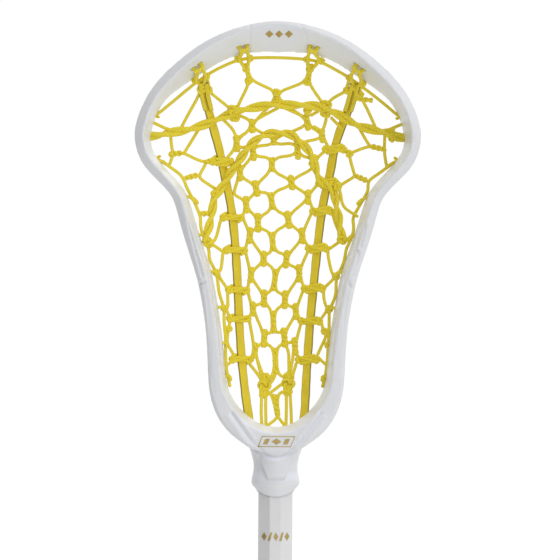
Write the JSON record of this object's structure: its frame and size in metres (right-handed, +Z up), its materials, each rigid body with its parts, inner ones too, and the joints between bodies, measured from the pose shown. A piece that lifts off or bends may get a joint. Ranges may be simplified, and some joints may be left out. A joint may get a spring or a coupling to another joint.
{
  "type": "lacrosse stick",
  "caption": "Women's lacrosse stick: moulded white head with a laced yellow cord pocket on flat runners, on an eight-sided tube shaft with a rubber butt cap.",
  "frame": {"origin": "centre of the butt cap's end face", "axes": "+Z up the shaft towards the scoop, -Y out of the side that takes the ball, +X to the right seen from that side"},
  "size_m": [0.1856, 0.0686, 1.095],
  "materials": {
    "moulded_white": "satin white moulded nylon",
    "shaft_white": "satin white painted composite tube",
    "cap_rubber": "matt light grey rubber",
    "screw_steel": "zinc plated",
    "runner_yellow": "yellow coated thong with darker edges",
    "cord_yellow": "yellow braided nylon cord"
  },
  "bodies": {
    "root": {"head_frame": "moulded_white", "shaft": "shaft_white", "butt_cap": "cap_rubber", "head_screw": "screw_steel", "runner_left": "runner_yellow", "runner_right": "runner_yellow", "runner_wraps_left": "cord_yellow", "runner_wraps_right": "cord_yellow", "top_string": "cord_yellow", "scoop_loops": "cord_yellow", "upper_net": "cord_yellow", "upper_shooting_string": "cord_yellow", "lower_shooting_string": "cord_yellow", "center_lace": "cord_yellow", "side_lace_left": "cord_yellow", "side_lace_right": "cord_yellow", "sidewall_string_left": "cord_yellow", "sidewall_string_right": "cord_yellow", "rim_ties_left": "cord_yellow", "rim_ties_right": "cord_yellow", "throat_strings": "cord_yellow"}
  },
  "joints": []
}
